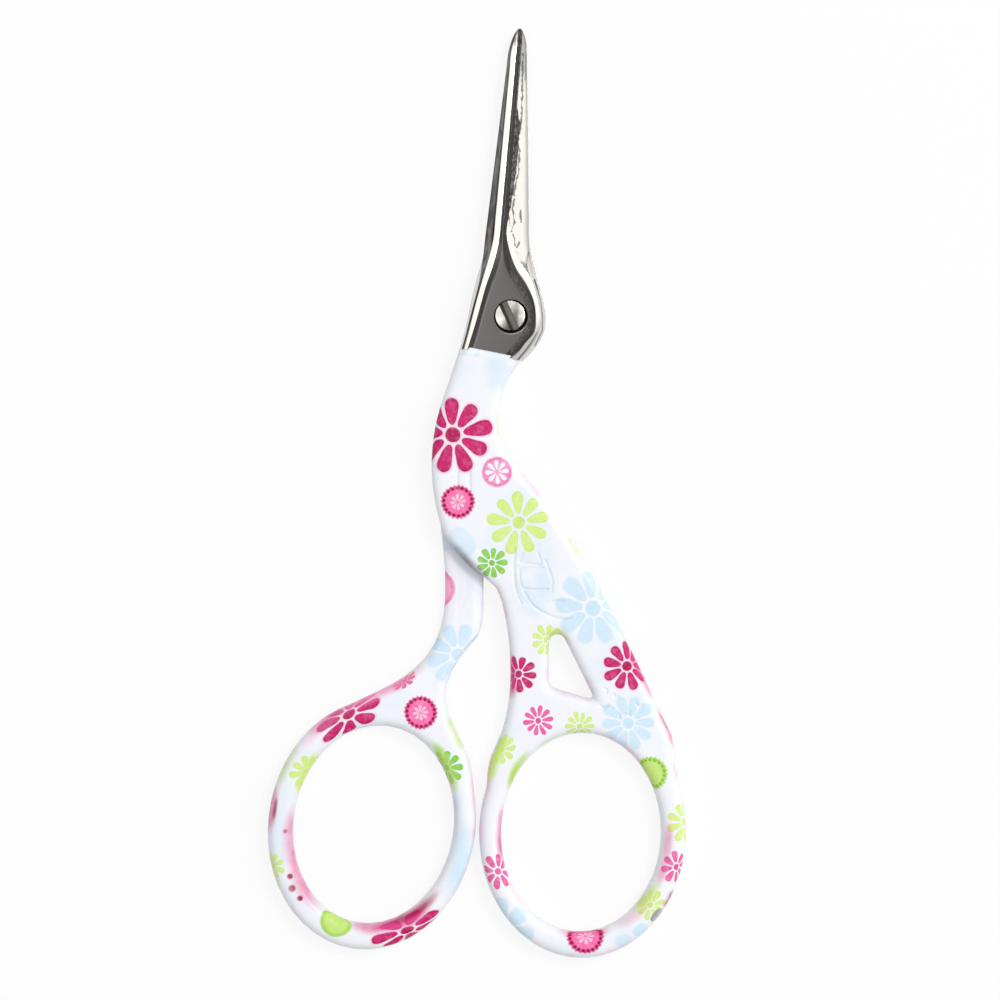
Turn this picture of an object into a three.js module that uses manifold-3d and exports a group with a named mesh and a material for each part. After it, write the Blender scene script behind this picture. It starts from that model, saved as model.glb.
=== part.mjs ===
// Stork embroidery scissors: two steel halves turn on a slotted screw, and each handle has a coat.
// Millimetres, +Z up. The scissors lie closed on the plane z = 0 with the beak towards +Y.
// The Z axis is the pivot axis. The front half is the upper one, and its ring is on the +X side.
import * as THREE from "three";
import { TessellateModifier } from "three/addons/modifiers/TessellateModifier.js";
import { mergeVertices } from "three/addons/utils/BufferGeometryUtils.js";
import Module from "manifold-3d";

// Thickness of the halves, with the coat
const RING_THICKNESS = 3.4;
const NECK_THICKNESS = 2.2;
const HEAD_THICKNESS = 2.3;
const PARTING_GAP = 0.1;

// Beak blades, measured from the pivot
const HEEL_Y = 9.5;
const BLADE_REACH = 35.2;
const POINT_LENGTH = 2.7;

// Finger rings
const OPENING_WIDTH = 19.6;
const OPENING_HEIGHT = 24.4;
const RING_BAR_SIDE = 2.9;
const RING_BAR_BASE = 3.2;
const RING_OUTSET = 0.2;
const RINGS_MEET_X = -4;
const RING_GAP = 0.35;
const FRONT_CROWN_Y = -51.1;
const FRONT_TILT = 1.5;
const REAR_CROWN_Y = -50.2;
const REAR_TILT = 9.7;

// Coat, and the line across the neck where it starts
const COAT = 0.25;
const COAT_CLEARANCE = 0.05;
const COAT_EDGE_Y = -4.75;
const COAT_EDGE_TILT = -11.3;

// Rounding of the handle's edges: its width, its share of the thickness, its largest share of a bar
const EDGE_ROUND = 1.1;
const EDGE_SHARE = 0.7;
const EDGE_LIMIT = 0.38;

// Where the lapped necks end, and where the full ring thickness starts
const LAP_END_Y = -33;
const RING_START_Y = -48;

// Eye pocket's depth, and the fullness of the beak's bevel: a place across it and the drop there
const POCKET_SHARE = 0.3;
const BEVEL_PLACE = 0.55;
const BEVEL_DROP = 0.45;

// Pivot screw
const SCREW_HEAD_RADIUS = 1.85;
const SCREW_SHANK_RADIUS = 1.2;
const SCREW_SEAT = 0.75;
const SCREW_DOME = 0.15;
const SCREW_PROUD = 0.05;
const SLOT_WIDTH = 0.72;
const SLOT_DEPTH = 0.45;
const SLOT_ANGLE = 110;
const HEAD_CLEARANCE = 0.18;
const TURN_CLEARANCE = 0.06;
const THREAD_CLEARANCE = 0.02;

// Feather grooves in the coat
const GROOVE_WIDTH = 0.42;
const GROOVE_DEPTH = 0.14;

// Facets: spacing of outline points, steps over a rounded edge, longest edge on a flat
const COAT_FACETS = { spacing: 1.8, edgeSteps: 3, longest: 6 };
const CORE_FACETS = { spacing: 3, edgeSteps: 2, longest: 7 };
const SCREW_SIDES = 40;
const STATION_STEP = 1.3;
const SPLIT_PASSES = 12;
const BIG = 80;

const PARTING_Z = RING_THICKNESS / 2;
const FRONT_FACE_Z = PARTING_Z + PARTING_GAP / 2;
const REAR_FACE_Z = PARTING_Z - PARTING_GAP / 2;
const TIP_Y = BLADE_REACH;
const POINT_Y = TIP_Y - POINT_LENGTH;
const RINGS_RIGHT_X = RINGS_MEET_X + RING_GAP / 2 + OPENING_WIDTH + 2 * RING_BAR_SIDE;
const radians = THREE.MathUtils.degToRad;

// Front handle outline: down the breast, belly and leg, and up the tail and back
const FRONT_BREAST = [
  [-5.2, -0.9], [-7.15, -7], [-9.2, -13.6], [-9.55, -20.4], [-7.9, LAP_END_Y + 6],
  [-4.3, LAP_END_Y + 1.7], [-1.9, LAP_END_Y], [-0.5, LAP_END_Y - 4.5], [0, FRONT_CROWN_Y + 6.1],
  [RINGS_MEET_X + 3.2, FRONT_CROWN_Y + 0.9], [RINGS_MEET_X + 2.4, FRONT_CROWN_Y - 1.1],
  [RINGS_MEET_X + 1.35, FRONT_CROWN_Y - 3.7],
];
const FRONT_BACK = [
  [RINGS_RIGHT_X - 1.475, FRONT_CROWN_Y - 2.9], [RINGS_RIGHT_X - 1.475, FRONT_CROWN_Y - 1.1],
  [RINGS_RIGHT_X - 2.975, FRONT_CROWN_Y + 2.1], [RINGS_RIGHT_X - 6.875, FRONT_CROWN_Y + 10.4],
  [9.8, LAP_END_Y + 1.6], [4.5, LAP_END_Y + 10],
  [-0.75, -16.1], [-1.5, -12.5], [-0.5, -8.2], [1.6, -5.1], [3.2, -3.2],
];
const FRONT_ARC = [160, 380];
const WINDOW = [
  [4.75, FRONT_CROWN_Y + 11.9], [6.3, FRONT_CROWN_Y + 12.3],
  [10.4, FRONT_CROWN_Y + 4], [4.75, FRONT_CROWN_Y + 5.7],
];
const WINDOW_RADIUS = 0.75;

// Rear handle outline: down the neck and leg to the ring, and up past the knee
const REAR_LEG = [
  [-5.2, -0.9], [-7, -7], [-8.95, -13.6], [-9.2, -20], [-8.5, LAP_END_Y + 6.8], [-8, LAP_END_Y + 1],
  [RINGS_MEET_X - 4.35, REAR_CROWN_Y + 12.7], [RINGS_MEET_X - 5.9, REAR_CROWN_Y + 9],
  [RINGS_MEET_X - 9, REAR_CROWN_Y + 6],
];
const REAR_KNEE = [
  [RINGS_MEET_X - 0.9, REAR_CROWN_Y - 4.6], [RINGS_MEET_X - 1.8, REAR_CROWN_Y - 2.2],
  [RINGS_MEET_X - 3.2, REAR_CROWN_Y + 0.6], [RINGS_MEET_X - 3.95, REAR_CROWN_Y + 3.7],
  [RINGS_MEET_X - 3.2, REAR_CROWN_Y + 6.6], [RINGS_MEET_X - 1.2, REAR_CROWN_Y + 9.5],
  [RINGS_MEET_X + 0.1, REAR_CROWN_Y + 11], [RINGS_MEET_X + 0.6, REAR_CROWN_Y + 12.4],
  [-3.25, LAP_END_Y + 1], [-2.7, LAP_END_Y + 10], [-1.8, -13.5],
  [-0.5, -8.2], [1.6, -5.1], [3.2, -3.2],
];
const REAR_ARC = [113, 380];

// Feather grooves: the wing's outline, its bars, and two breast marks
const FEATHERS = [
  [[0.7, -29], [0.5, -32.3], [1.3, -34.4], [3.6, -36.2], [6.6, -37.2]],
  [[1.3, -30], [2.6, -30.2], [3.9, -30.6]],
  [[1.5, -33.4], [3, -33.5], [4.6, -33.8]],
  [[5, -35.2], [5.8, -35.2], [6.6, -35]],
  [[-6.4, -19.2], [-6.45, -20.2], [-6.35, -21.2]],
  [[-4.9, -19.3], [-4.95, -20.3], [-4.85, -21.3]],
];

// Bare sections from the coat edge to the tip. Places across: spine, spine ridge, edge ridge, edge.
// Heights from the rubbing face, as shares of the head's: spine wall, ridge, edge wall.
const FRONT_SECTIONS = [
  [COAT_EDGE_Y - 1.25, -6.5, -6.2, 0.3, 0.75, 0.87, 1, 0.87],
  [-3.8, -5.85, -5.55, 2.15, 2.55, 0.87, 1, 0.85],
  [-2.2, -5.4, -5.1, 3.05, 3.45, 0.87, 1, 0.84],
  [-0.3, -4.95, -4.65, 3.5, 3.95, 0.87, 1, 0.83],
  [1.9, -4.4, -4.1, 3.2, 3.7, 0.87, 1, 0.79],
  [4.4, -3.8, -3.4, 2.5, 3.15, 0.78, 0.98, 0.65],
  [HEEL_Y - 2.5, -3.35, -2.65, 0.9, 2.5, 0.52, 0.9, 0.4],
  ...straight(
    [HEEL_Y, -3.08, -2.05, -0.3, 2.27, 0.34, 0.8, 0.22],
    [POINT_Y, -0.2, 0.1, 1.2, 2.05, 0.14, 0.38, 0.11],
  ),
  [TIP_Y - 0.4 * POINT_LENGTH, 0.3, 0.55, 1.2, 1.83, 0.11, 0.28, 0.09],
  [TIP_Y, 1, 1.08, 1.22, 1.3, 0.09, 0.18, 0.09],
];
const REAR_SECTIONS = [
  [COAT_EDGE_Y - 1.25, 1.05, 0.75, -6.55, -6.9, 0.82, 1, 0.82],
  [-3.8, 3.1, 2.8, -5.8, -6.1, 0.82, 1, 0.82],
  [-2.2, 4.05, 3.75, -5.35, -5.65, 0.82, 1, 0.82],
  [-0.3, 4.35, 4.05, -4.85, -5.2, 0.82, 1, 0.8],
  [1.9, 4.05, 3.75, -4.35, -4.75, 0.82, 1, 0.78],
  [4.4, 3.45, 3.1, -3.5, -4.15, 0.73, 0.97, 0.67],
  [HEEL_Y - 2.5, 2.8, 2.2, -1.5, -3.4, 0.55, 0.91, 0.45],
  ...straight(
    [HEEL_Y, 2.33, 1.4, -0.1, -2.95, 0.39, 0.85, 0.27],
    [POINT_Y, 2.1, 1.75, 0.7, -0.1, 0.18, 0.45, 0.13],
  ),
  [TIP_Y - 0.4 * POINT_LENGTH, 1.85, 1.6, 0.95, 0.38, 0.15, 0.35, 0.12],
  [TIP_Y, 1.3, 1.22, 1.08, 1, 0.12, 0.22, 0.12],
];

// Eye pocket running on as the mouth groove. Places across: rim, floor, floor, rim. Depth as a share.
const FRONT_MOUTH = [
  [COAT_EDGE_Y - 1.25, -5.75, -5.2, -2.6, -1.2, POCKET_SHARE],
  [-4.8, -5.35, -4.8, -0.6, 0.7, POCKET_SHARE],
  [-3.4, -4.75, -4.25, 0.9, 2.2, POCKET_SHARE],
  [-2.2, -4.35, -3.85, 1.55, 2.9, POCKET_SHARE],
  [-0.2, -3.85, -3.35, 2, 3.1, POCKET_SHARE],
  [1.7, -3.4, -2.85, 2, 2.85, POCKET_SHARE],
  [3.75, -2.9, -2.37, 1.16, 2.1, POCKET_SHARE],
  [5.6, -2.19, -1.6, 0.1, 0.83, 0.27],
  [HEEL_Y - 2.1, -1.68, -1.1, -0.8, 0.07, 0.24],
  ...straight(
    [HEEL_Y + 0.4, -1.29, -0.95, -0.85, -0.45, 0.22],
    [POINT_Y, 0.75, 0.94, 0.98, 1.15, 0.11],
  ),
  [TIP_Y - 0.3 * POINT_LENGTH, 1.05, 1.12, 1.15, 1.22, 0.05],
];
const REAR_MOUTH = [
  [HEEL_Y - 2.9, 0.7, 0.76, 0.8, 0.86, 0.02],
  [HEEL_Y - 1.3, 0.5, 0.7, 0.76, 1, 0.15],
  ...straight(
    [HEEL_Y + 0.4, 0.3, 0.62, 0.7, 1.05, 0.2],
    [POINT_Y, 0.95, 1.18, 1.23, 1.45, 0.11],
  ),
  [TIP_Y - 0.3 * POINT_LENGTH, 1.05, 1.12, 1.15, 1.22, 0.05],
];

const wasm = await Module();
wasm.setup();

// Rows of a straight stretch: its two ends, and one row near each so that a smooth curve keeps to it.
function straight(start, end) {
  return [0, 0.1, 0.9, 1].map((share) => start.map((value, i) => THREE.MathUtils.lerp(value, end[i], share)));
}

// Closed solid from a geometry: doubled vertices become one, and collapsed faces go.
function solid(geometry) {
  const bare = new THREE.BufferGeometry();
  bare.setAttribute("position", geometry.getAttribute("position"));
  bare.setIndex(geometry.getIndex());
  const merged = mergeVertices(bare);
  const corners = merged.getIndex().array;
  const kept = [];
  for (let i = 0; i < corners.length; i += 3) {
    const [a, b, c] = corners.subarray(i, i + 3);
    if (a !== b && b !== c && c !== a) kept.push(a, b, c);
  }
  const mesh = new wasm.Mesh({
    numProp: 3,
    vertProperties: merged.getAttribute("position").array,
    triVerts: new Uint32Array(kept),
  });
  return new wasm.Manifold(mesh);
}

// Geometry of a finished solid
function geometryOf(piece) {
  const { vertProperties, triVerts } = piece.getMesh();
  const geometry = new THREE.BufferGeometry();
  geometry.setAttribute("position", new THREE.BufferAttribute(vertProperties, 3));
  geometry.setIndex(new THREE.BufferAttribute(triVerts, 1));
  geometry.computeVertexNormals();
  return geometry;
}

// Skin through convex sections of equally many points, with a flat cap at each end
function loft(sections) {
  const count = sections[0].length;
  const last = (sections.length - 1) * count;
  const faces = [];
  for (let row = 0; row < last; row += count) {
    for (let i = 0; i < count; i += 1) {
      const next = (i + 1) % count;
      faces.push(row + i, row + next, row + count + next);
      faces.push(row + i, row + count + next, row + count + i);
    }
  }
  for (let i = 1; i < count - 1; i += 1) {
    faces.push(0, i + 1, i, last, last + i, last + i + 1);
  }
  const geometry = new THREE.BufferGeometry().setFromPoints(sections.flat());
  geometry.setIndex(faces);
  const skin = solid(geometry);
  if (skin.volume() > 0) return skin;
  geometry.setIndex(faces.toReversed());
  return solid(geometry);
}

// Smooth law through rows whose first number is the station
function law(rows) {
  const stations = rows.map((row) => row[0]);
  const values = rows.flatMap((row) => row.slice(1));
  const curve = new THREE.CubicInterpolant(stations, values, rows[0].length - 1);
  return (y) => Array.from(curve.evaluate(y));
}

// Stations of a loft from the first row to the last
function stationsOf(rows) {
  const start = rows[0][0];
  const end = rows.at(-1)[0];
  const steps = Math.ceil((end - start) / STATION_STEP);
  return Array.from({ length: steps + 1 }, (_, i) => THREE.MathUtils.lerp(start, end, i / steps));
}

// Bare beak and head of one half, standing on its rubbing face
function beak(rows, faceZ, height) {
  const sectionAt = law(rows);
  const sections = stationsOf(rows).map((y) => {
    const [spine, spineRidge, edgeRidge, edge, spineWall, ridge, edgeWall] = sectionAt(y);
    const bevelMiddle = THREE.MathUtils.lerp(edgeRidge, edge, BEVEL_PLACE);
    const bevelHeight = THREE.MathUtils.lerp(ridge, edgeWall, BEVEL_DROP);
    const profile = [
      [spine, 0], [spine, spineWall], [spineRidge, ridge], [edgeRidge, ridge],
      [bevelMiddle, bevelHeight], [edge, edgeWall], [edge, 0],
    ];
    return profile.map(([x, share]) => new THREE.Vector3(x, y, faceZ + height * share));
  });
  return loft(sections);
}

// Cutter for the pocket and groove in the outer face of a beak
function mouth(rows, beakRows, faceZ, height) {
  const mouthAt = law(rows);
  const beakAt = law(beakRows);
  const over = 0.15;
  const sections = stationsOf(rows).map((y) => {
    const [rimA, floorA, floorB, rimB, depth] = mouthAt(y);
    const ridge = beakAt(y)[5];
    const flare = 1 + over / depth;
    const profile = [
      [THREE.MathUtils.lerp(floorA, rimA, flare), ridge + over],
      [floorA, ridge - depth],
      [floorB, ridge - depth],
      [THREE.MathUtils.lerp(floorB, rimB, flare), ridge + over],
    ];
    return profile.map(([x, share]) => new THREE.Vector3(x, y, faceZ + height * share));
  });
  return loft(sections);
}

// Everything on the beak's side of the coat edge, moved along by an offset
function beakSide(offset) {
  const block = new THREE.BoxGeometry(BIG, BIG, BIG);
  block.translate(0, BIG / 2 + offset, 0);
  block.rotateZ(radians(COAT_EDGE_TILT));
  block.translate(0, COAT_EDGE_Y, 0);
  return solid(block);
}

// Finger ring beside the line where the two rings meet: its outer and inner ellipse
function ringBeside(side, crownY, tilt) {
  const turn = radians(tilt);
  const inner = { x: OPENING_WIDTH / 2, y: OPENING_HEIGHT / 2 };
  const outer = { x: inner.x + RING_BAR_SIDE, y: inner.y + RING_BAR_BASE };
  const reach = Math.hypot(outer.x * Math.cos(turn), outer.y * Math.sin(turn));
  const rise = Math.hypot(inner.x * Math.sin(turn), inner.y * Math.cos(turn));
  const x = RINGS_MEET_X + side * (RING_GAP / 2 + reach);
  const y = crownY - rise;
  const ellipse = (centre, radii) => (from, to) =>
    new THREE.EllipseCurve(centre, y, radii.x, radii.y, radians(from), radians(to), false, -turn);
  return { outer: ellipse(x, outer), opening: ellipse(x - side * RING_OUTSET, inner) };
}

// Evenly spaced points on a curve
function spaced(curve, spacing) {
  const steps = Math.max(2, Math.round(curve.getLength() / spacing));
  return curve.getSpacedPoints(steps).map(({ x, y }) => new THREE.Vector2(x, y));
}

// Smooth flat curve through points
function through(points) {
  const places = points.map(([x, y]) => new THREE.Vector3(x, y, 0));
  return new THREE.CatmullRomCurve3(places, false, "centripetal");
}

// Handle outline: down one side, round the ring and up the other side
function outline(down, ring, [from, to], up, spacing) {
  const arc = spaced(ring.outer(from, to), spacing);
  const first = arc.shift().toArray();
  const last = arc.pop().toArray();
  return [
    ...spaced(through([...down, first]), spacing),
    ...arc,
    ...spaced(through([last, ...up]), spacing),
  ];
}

// Full ring opening as a closed run of points
function openingOf(ring, spacing) {
  return spaced(ring.opening(0, 360), spacing).slice(1);
}

// Leg window with rounded corners
function windowOf(spacing) {
  const corners = WINDOW.map(([x, y]) => new THREE.Vector2(x, y));
  const steps = Math.max(2, Math.round((2 * WINDOW_RADIUS) / spacing) + 1);
  return corners.flatMap((corner, i) => {
    const before = corners.at(i - 1).clone().sub(corner).setLength(WINDOW_RADIUS).add(corner);
    const after = corners[(i + 1) % corners.length].clone().sub(corner).setLength(WINDOW_RADIUS).add(corner);
    return new THREE.QuadraticBezierCurve(before, corner, after).getPoints(steps);
  });
}

// Lower and upper surface of each handle: lapped at the neck, full thickness at the ring
function frontSurfaces(y) {
  const lapped = THREE.MathUtils.smoothstep(y, RING_START_Y, LAP_END_Y);
  return [
    THREE.MathUtils.lerp(0, FRONT_FACE_Z, lapped),
    THREE.MathUtils.lerp(RING_THICKNESS, FRONT_FACE_Z + NECK_THICKNESS, lapped),
  ];
}

function rearSurfaces(y) {
  const lapped = THREE.MathUtils.smoothstep(y, RING_START_Y, LAP_END_Y);
  return [0, THREE.MathUtils.lerp(RING_THICKNESS, REAR_FACE_Z, lapped)];
}

// Handle form with rounded edges, shrunk on all sides by an inset
function handle(edgeAt, holesAt, surfaces, inset, facets) {
  const round = Math.min(EDGE_ROUND, EDGE_LIMIT * RING_BAR_SIDE) - inset;
  const shape = new THREE.Shape(edgeAt(facets.spacing));
  shape.holes = holesAt(facets.spacing).map((hole) => new THREE.Path(hole));
  const blank = new THREE.ExtrudeGeometry(shape, {
    depth: 2 - 2 * EDGE_SHARE,
    steps: 1,
    bevelThickness: EDGE_SHARE,
    bevelSize: round,
    bevelOffset: -round - inset,
    bevelSegments: facets.edgeSteps,
  });
  blank.translate(0, 0, EDGE_SHARE - 1);
  const form = new TessellateModifier(facets.longest, SPLIT_PASSES).modify(blank);
  const places = form.getAttribute("position");
  for (let i = 0; i < places.count; i += 1) {
    const [low, high] = surfaces(places.getY(i));
    places.setZ(i, (low + high) / 2 + places.getZ(i) * ((high - low) / 2 - inset));
  }
  return solid(form);
}

// Shallow groove along a path on the front handle's upper surface
function groove(points) {
  const path = through(points);
  const steps = points.length * 2;
  const rise = 0.1;
  const halfWidth = (GROOVE_WIDTH / 2) * (1 + rise / GROOVE_DEPTH);
  const sections = path.getSpacedPoints(steps).map((place, i) => {
    const along = path.getTangentAt(i / steps);
    const across = new THREE.Vector3(-along.y, along.x, 0).multiplyScalar(halfWidth);
    const top = frontSurfaces(place.y)[1];
    const rim = place.clone().setZ(top + rise);
    return [rim.clone().add(across), place.clone().setZ(top - GROOVE_DEPTH), rim.clone().sub(across)];
  });
  return loft(sections);
}

// Upright cylinder between two heights
function post(radius, low, high) {
  const cylinder = new THREE.CylinderGeometry(radius, radius, high - low, SCREW_SIDES);
  cylinder.rotateX(Math.PI / 2);
  cylinder.translate(0, 0, (low + high) / 2);
  return solid(cylinder);
}

// Steel half: the beak on its rubbing face, with the handle core running on under the coat
function half(rows, mouthRows, faceZ, height, core) {
  const bare = beak(rows, faceZ, height).intersect(beakSide(0));
  const cut = mouth(mouthRows, rows, faceZ, height).intersect(beakSide(0));
  return bare.add(core).subtract(cut);
}

// Coat: the handle's outside less its inside, open at the neck
function coatOf(outside, inside) {
  return outside.subtract(inside).subtract(beakSide(-COAT_CLEARANCE));
}

const frontRing = ringBeside(1, FRONT_CROWN_Y, FRONT_TILT);
const rearRing = ringBeside(-1, REAR_CROWN_Y, REAR_TILT);
const frontEdge = (spacing) => outline(FRONT_BREAST, frontRing, FRONT_ARC, FRONT_BACK, spacing);
const frontHoles = (spacing) => [openingOf(frontRing, spacing), windowOf(spacing)];
const rearEdge = (spacing) => outline(REAR_LEG, rearRing, REAR_ARC, REAR_KNEE, spacing);
const rearHoles = (spacing) => [openingOf(rearRing, spacing)];
const frontForm = (inset, facets) => handle(frontEdge, frontHoles, frontSurfaces, inset, facets);
const rearForm = (inset, facets) => handle(rearEdge, rearHoles, rearSurfaces, inset, facets);

const seatZ = FRONT_FACE_Z + SCREW_SEAT;
const pocketFloorZ = FRONT_FACE_Z + (1 - POCKET_SHARE) * HEAD_THICKNESS;
const coreInset = COAT + COAT_CLEARANCE;

// Front half: pocketed head with the screw's clearance hole and counterbore
function frontHalf() {
  const core = frontForm(coreInset, CORE_FACETS);
  return half(FRONT_SECTIONS, FRONT_MOUTH, FRONT_FACE_Z, HEAD_THICKNESS, core)
    .subtract(post(SCREW_SHANK_RADIUS + TURN_CLEARANCE, -BIG, BIG))
    .subtract(post(SCREW_HEAD_RADIUS + HEAD_CLEARANCE, seatZ, BIG));
}

// Rear half: mirrored beak facing down, with the screw's threaded hole as a plain bore
function rearHalf() {
  const core = rearForm(coreInset, CORE_FACETS);
  return half(REAR_SECTIONS, REAR_MOUTH, REAR_FACE_Z, -REAR_FACE_Z, core)
    .subtract(post(SCREW_SHANK_RADIUS + THREAD_CLEARANCE, -BIG, BIG));
}

function frontCoat() {
  const plain = coatOf(frontForm(0, COAT_FACETS), frontForm(COAT, CORE_FACETS));
  return FEATHERS.reduce((coat, feather) => coat.subtract(groove(feather)), plain);
}

function rearCoat() {
  return coatOf(rearForm(0, COAT_FACETS), rearForm(COAT, CORE_FACETS));
}

// Screw: shank flush with the back, low domed head in the eye, and a slot across it
function pivotScrew() {
  const rimZ = pocketFloorZ + SCREW_PROUD;
  const underside = seatZ + THREAD_CLEARANCE;
  const profile = [
    [0, 0], [SCREW_SHANK_RADIUS, 0], [SCREW_SHANK_RADIUS, underside], [SCREW_HEAD_RADIUS, underside],
    [SCREW_HEAD_RADIUS, rimZ - SCREW_DOME], [SCREW_HEAD_RADIUS - SCREW_DOME, rimZ], [0, rimZ + SCREW_DOME],
  ];
  const turned = new THREE.LatheGeometry(profile.map(([x, y]) => new THREE.Vector2(x, y)), SCREW_SIDES);
  turned.rotateX(Math.PI / 2);
  const slot = new THREE.BoxGeometry(BIG, SLOT_WIDTH, 2 * SLOT_DEPTH);
  slot.rotateZ(radians(SLOT_ANGLE));
  slot.translate(0, 0, rimZ + SCREW_DOME);
  return solid(turned).subtract(solid(slot));
}

const steel = { color: 0xcfccc6, roughness: 0.18, metalness: 1 };
const screwSteel = { color: 0xb9b5af, roughness: 0.32, metalness: 1 };
const coat = { color: 0xf3f4f8, roughness: 0.25, metalness: 0 };

function piece(name, made, look) {
  const mesh = new THREE.Mesh(geometryOf(made), new THREE.MeshStandardMaterial(look));
  mesh.name = name;
  return mesh;
}

const upper = new THREE.Group();
upper.add(piece("front_half", frontHalf(), steel), piece("front_handle_coat", frontCoat(), coat));
const lower = new THREE.Group();
lower.add(piece("rear_half", rearHalf(), steel), piece("rear_handle_coat", rearCoat(), coat));
lower.add(piece("pivot_screw", pivotScrew(), screwSteel));

const scissors = new THREE.Group();
scissors.add(upper, lower);

export default scissors;
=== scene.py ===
"""Stork embroidery scissors: polished beak, slotted eye screw, and lacquered handles with a daisy print."""

import math
from functools import reduce

import bpy
import numpy as np
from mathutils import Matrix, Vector


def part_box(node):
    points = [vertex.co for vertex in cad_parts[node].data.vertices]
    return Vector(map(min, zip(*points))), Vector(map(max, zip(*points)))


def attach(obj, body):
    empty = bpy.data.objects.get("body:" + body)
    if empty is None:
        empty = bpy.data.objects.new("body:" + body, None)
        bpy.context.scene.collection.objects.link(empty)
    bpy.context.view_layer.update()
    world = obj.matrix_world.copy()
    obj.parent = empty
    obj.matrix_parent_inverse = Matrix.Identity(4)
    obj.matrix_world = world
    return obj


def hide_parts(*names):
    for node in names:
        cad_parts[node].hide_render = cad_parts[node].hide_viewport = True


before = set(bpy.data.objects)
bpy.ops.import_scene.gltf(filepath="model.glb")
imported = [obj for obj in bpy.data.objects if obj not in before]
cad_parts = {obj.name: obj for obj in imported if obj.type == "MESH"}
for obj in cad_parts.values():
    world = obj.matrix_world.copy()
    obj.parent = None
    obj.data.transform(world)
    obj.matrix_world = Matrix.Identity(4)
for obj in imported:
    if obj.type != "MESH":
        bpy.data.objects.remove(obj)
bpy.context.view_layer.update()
scene = bpy.context.scene

MM = 0.001

# The line across the neck where the coat starts, about as in the solids
COAT_EDGE = Vector((0, -4.75 * MM, 0))
COAT_EDGE_TURN = math.radians(11.3)
COAT_EDGE_NORMAL = Vector((math.sin(COAT_EDGE_TURN), math.cos(COAT_EDGE_TURN), 0))
# How far behind that line the steel ends under the coat, and the coat starts, in millimetres
BEAK_START, COAT_START = -0.5, -0.12

# Bare sections from the coat edge to the tip, in millimetres, about as in the solids. Each row has the
# station, the places across of spine, spine ridge, edge ridge and edge, and the heights of spine wall,
# ridge and edge wall as shares of the half's thickness.
FRONT_SECTIONS = [
    (-6, -6.5, -6.2, 0.3, 0.75, 0.87, 1, 0.87), (-3.8, -5.85, -5.55, 2.15, 2.55, 0.87, 1, 0.85),
    (-2.2, -5.4, -5.1, 3.05, 3.45, 0.87, 1, 0.84), (-0.3, -4.95, -4.65, 3.5, 3.95, 0.87, 1, 0.83),
    (1.9, -4.4, -4.1, 3.2, 3.7, 0.87, 1, 0.79), (4.4, -3.8, -3.4, 2.5, 3.15, 0.78, 0.98, 0.65),
    (7, -3.35, -2.65, 0.9, 2.5, 0.52, 0.9, 0.4), (9.5, -3.08, -2.05, -0.3, 2.27, 0.34, 0.8, 0.22),
    (11.8, -2.792, -1.835, -0.15, 2.248, 0.32, 0.758, 0.209),
    (30.2, -0.488, -0.115, 1.05, 2.072, 0.16, 0.422, 0.121),
    (32.5, -0.2, 0.1, 1.2, 2.05, 0.14, 0.38, 0.11), (34.12, 0.3, 0.55, 1.2, 1.83, 0.11, 0.28, 0.09),
    (34.75, 0.62, 0.78, 1.2, 1.62, 0.1, 0.24, 0.09), (35.2, 0.95, 1.05, 1.24, 1.36, 0.09, 0.18, 0.09),
]
REAR_SECTIONS = [
    (-6, 1.05, 0.75, -6.55, -6.9, 0.82, 1, 0.82), (-3.8, 3.1, 2.8, -5.8, -6.1, 0.82, 1, 0.82),
    (-2.2, 4.05, 3.75, -5.35, -5.65, 0.82, 1, 0.82), (-0.3, 4.35, 4.05, -4.85, -5.2, 0.82, 1, 0.8),
    (1.9, 4.05, 3.75, -4.35, -4.75, 0.82, 1, 0.78), (4.4, 3.45, 3.1, -3.5, -4.15, 0.73, 0.97, 0.67),
    (7, 2.8, 2.2, -1.5, -3.4, 0.55, 0.91, 0.45), (9.5, 2.33, 1.4, -0.1, -2.95, 0.39, 0.85, 0.27),
    (11.8, 2.307, 1.435, -0.02, -2.665, 0.369, 0.81, 0.256),
    (30.2, 2.123, 1.715, 0.62, -0.385, 0.201, 0.49, 0.144),
    (32.5, 2.1, 1.75, 0.7, -0.1, 0.18, 0.45, 0.13), (34.12, 1.85, 1.6, 0.95, 0.38, 0.15, 0.35, 0.12),
    (34.75, 1.63, 1.5, 1, 0.66, 0.13, 0.28, 0.12), (35.2, 1.35, 1.25, 1.05, 0.95, 0.12, 0.22, 0.12),
]
# Eye pocket running on as the mouth groove: station, rim, floor, floor, rim, depth as a share
FRONT_MOUTH = [
    (-6, -5.85, -5.2, -2.6, -1.2, 0.3), (-4.8, -5.47, -4.75, -0.6, 0.7, 0.3),
    (-3.4, -5.03, -4.35, 0.62, 1.85, 0.3), (-2.2, -4.64, -3.98, 1.55, 2.9, 0.3),
    (-0.2, -4.04, -3.45, 2, 3.15, 0.3), (1.7, -3.52, -2.93, 1.8, 2.9, 0.3),
    (3.75, -2.94, -2.25, 0.65, 2.05, 0.3), (5.6, -2.28, -1.6, -0.4, 0.83, 0.27),
    (7.4, -1.77, -1.07, -0.8, 0.07, 0.24), (9.9, -1.29, -0.95, -0.85, -0.45, 0.22),
    (12.16, -1.086, -0.761, -0.667, -0.29, 0.209), (30.24, 0.546, 0.751, 0.797, 0.99, 0.121),
    (32.5, 0.75, 0.94, 0.98, 1.15, 0.11), (34.39, 1.05, 1.12, 1.15, 1.22, 0.05),
]
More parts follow.
